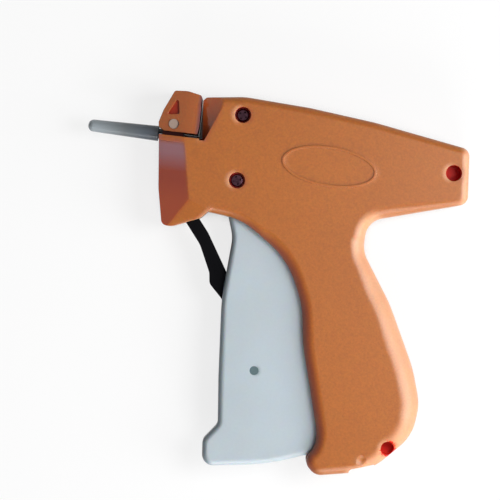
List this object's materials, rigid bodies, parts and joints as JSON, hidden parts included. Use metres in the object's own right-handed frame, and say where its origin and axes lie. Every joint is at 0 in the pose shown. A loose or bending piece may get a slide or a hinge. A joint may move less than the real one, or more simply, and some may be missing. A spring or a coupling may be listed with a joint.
{
  "type": "garment tag attacher",
  "caption": "Hand-held garment tag attacher: orange pistol-shaped casing, pale trigger, hollow needle under a smoky cap, needle latch and black feed lever.",
  "frame": {"origin": "under the middle of the gun's outline, on the flat right side that it lies on", "axes": "+X from the needle to the rear of the body, +Y from the handle to the top of the gun, +Z out of its left side"},
  "size_m": [0.1518, 0.1452, 0.0248],
  "materials": {
    "casing_plastic": "moulded orange plastic with a fine grain",
    "trigger_plastic": "moulded pale blue-grey plastic, smooth",
    "black_plastic": "moulded black plastic, smooth",
    "cap_plastic": "smoky translucent plastic",
    "foot_plastic": "moulded plastic, smooth",
    "natural_plastic": "natural white moulded plastic",
    "plated_steel": "bright plated",
    "polished_steel": "polished",
    "spring_steel": "bare spring steel"
  },
  "bodies": {
    "casing": {"left_shell": "casing_plastic", "right_shell": "casing_plastic", "case_screws": "plated_steel", "latch_pin": "plated_steel", "needle": "polished_steel", "needle_hub": "foot_plastic", "cutter_blade": "polished_steel", "trigger_bush": "natural_plastic", "feed_wheel_shaft": "plated_steel", "check_spring": "spring_steel", "clip_guide": "natural_plastic", "return_spring": "spring_steel"},
    "trigger": {"trigger": "trigger_plastic", "trigger_cross_pin": "natural_plastic"},
    "drive_lever": {"drive_lever": "natural_plastic", "drive_pin": "plated_steel"},
    "slider": {"slider": "natural_plastic", "slider_pin": "plated_steel", "push_rod": "polished_steel"},
    "feed_lever": {"feed_lever": "black_plastic", "feed_pawl": "natural_plastic", "pawl_pin": "plated_steel"},
    "feed_wheel": {"feed_wheel": "natural_plastic"},
    "needle_latch": {"needle_latch": "casing_plastic"},
    "needle_cap": {"needle_cap": "cap_plastic"}
  },
  "joints": [
    {"name": "trigger_hinge", "type": "hinge", "parent": "casing", "child": "trigger", "pos_m": [-0.01487, 0.03981, 0.0122], "axis": [0, 0, 1], "range_deg": [0, 14], "stiffness_Nm_per_rad": 5.5, "springref_deg": -4.58, "deforming": ["return_spring"]},
    {"name": "drive_lever_hinge", "type": "hinge", "parent": "casing", "child": "drive_lever", "pos_m": [0.02324, -0.00038, 0.0122], "axis": [0, 0, 1], "range_deg": [0, 43.7]},
    {"name": "slider_slide", "type": "slide", "parent": "casing", "child": "slider", "axis": [1, 0, 0], "range_m": [-0.0441, 0]},
    {"name": "feed_lever_hinge", "type": "hinge", "parent": "casing", "child": "feed_lever", "pos_m": [-0.03536, 0.03401, 0.0122], "axis": [0, 0, 1], "range_deg": [0, 12.9]},
    {"name": "feed_wheel_hinge", "type": "hinge", "parent": "casing", "child": "feed_wheel", "pos_m": [-0.03536, 0.03401, 0.0122], "axis": [0, 0, 1], "range_deg": [0, 12.9]},
    {"name": "needle_latch_hinge", "type": "hinge", "parent": "casing", "child": "needle_latch", "pos_m": [-0.04216, 0.05881, 0.0122], "axis": [0, 0, 1], "range_deg": [0, 30]},
    {"name": "needle_cap_slide", "type": "slide", "parent": "casing", "child": "needle_cap", "axis": [-1, 0, 0], "range_m": [0, 0.034]}
  ],
  "couplings": [
    {"joint": "drive_lever_hinge", "follows": "trigger_hinge", "ratio": 3.114},
    {"joint": "slider_slide", "follows": "trigger_hinge", "m_per_rad": -0.18007},
    {"joint": "feed_lever_hinge", "follows": "trigger_hinge", "ratio": 0.91339},
    {"joint": "feed_wheel_hinge", "follows": "trigger_hinge", "ratio": 0.91339}
  ]
}
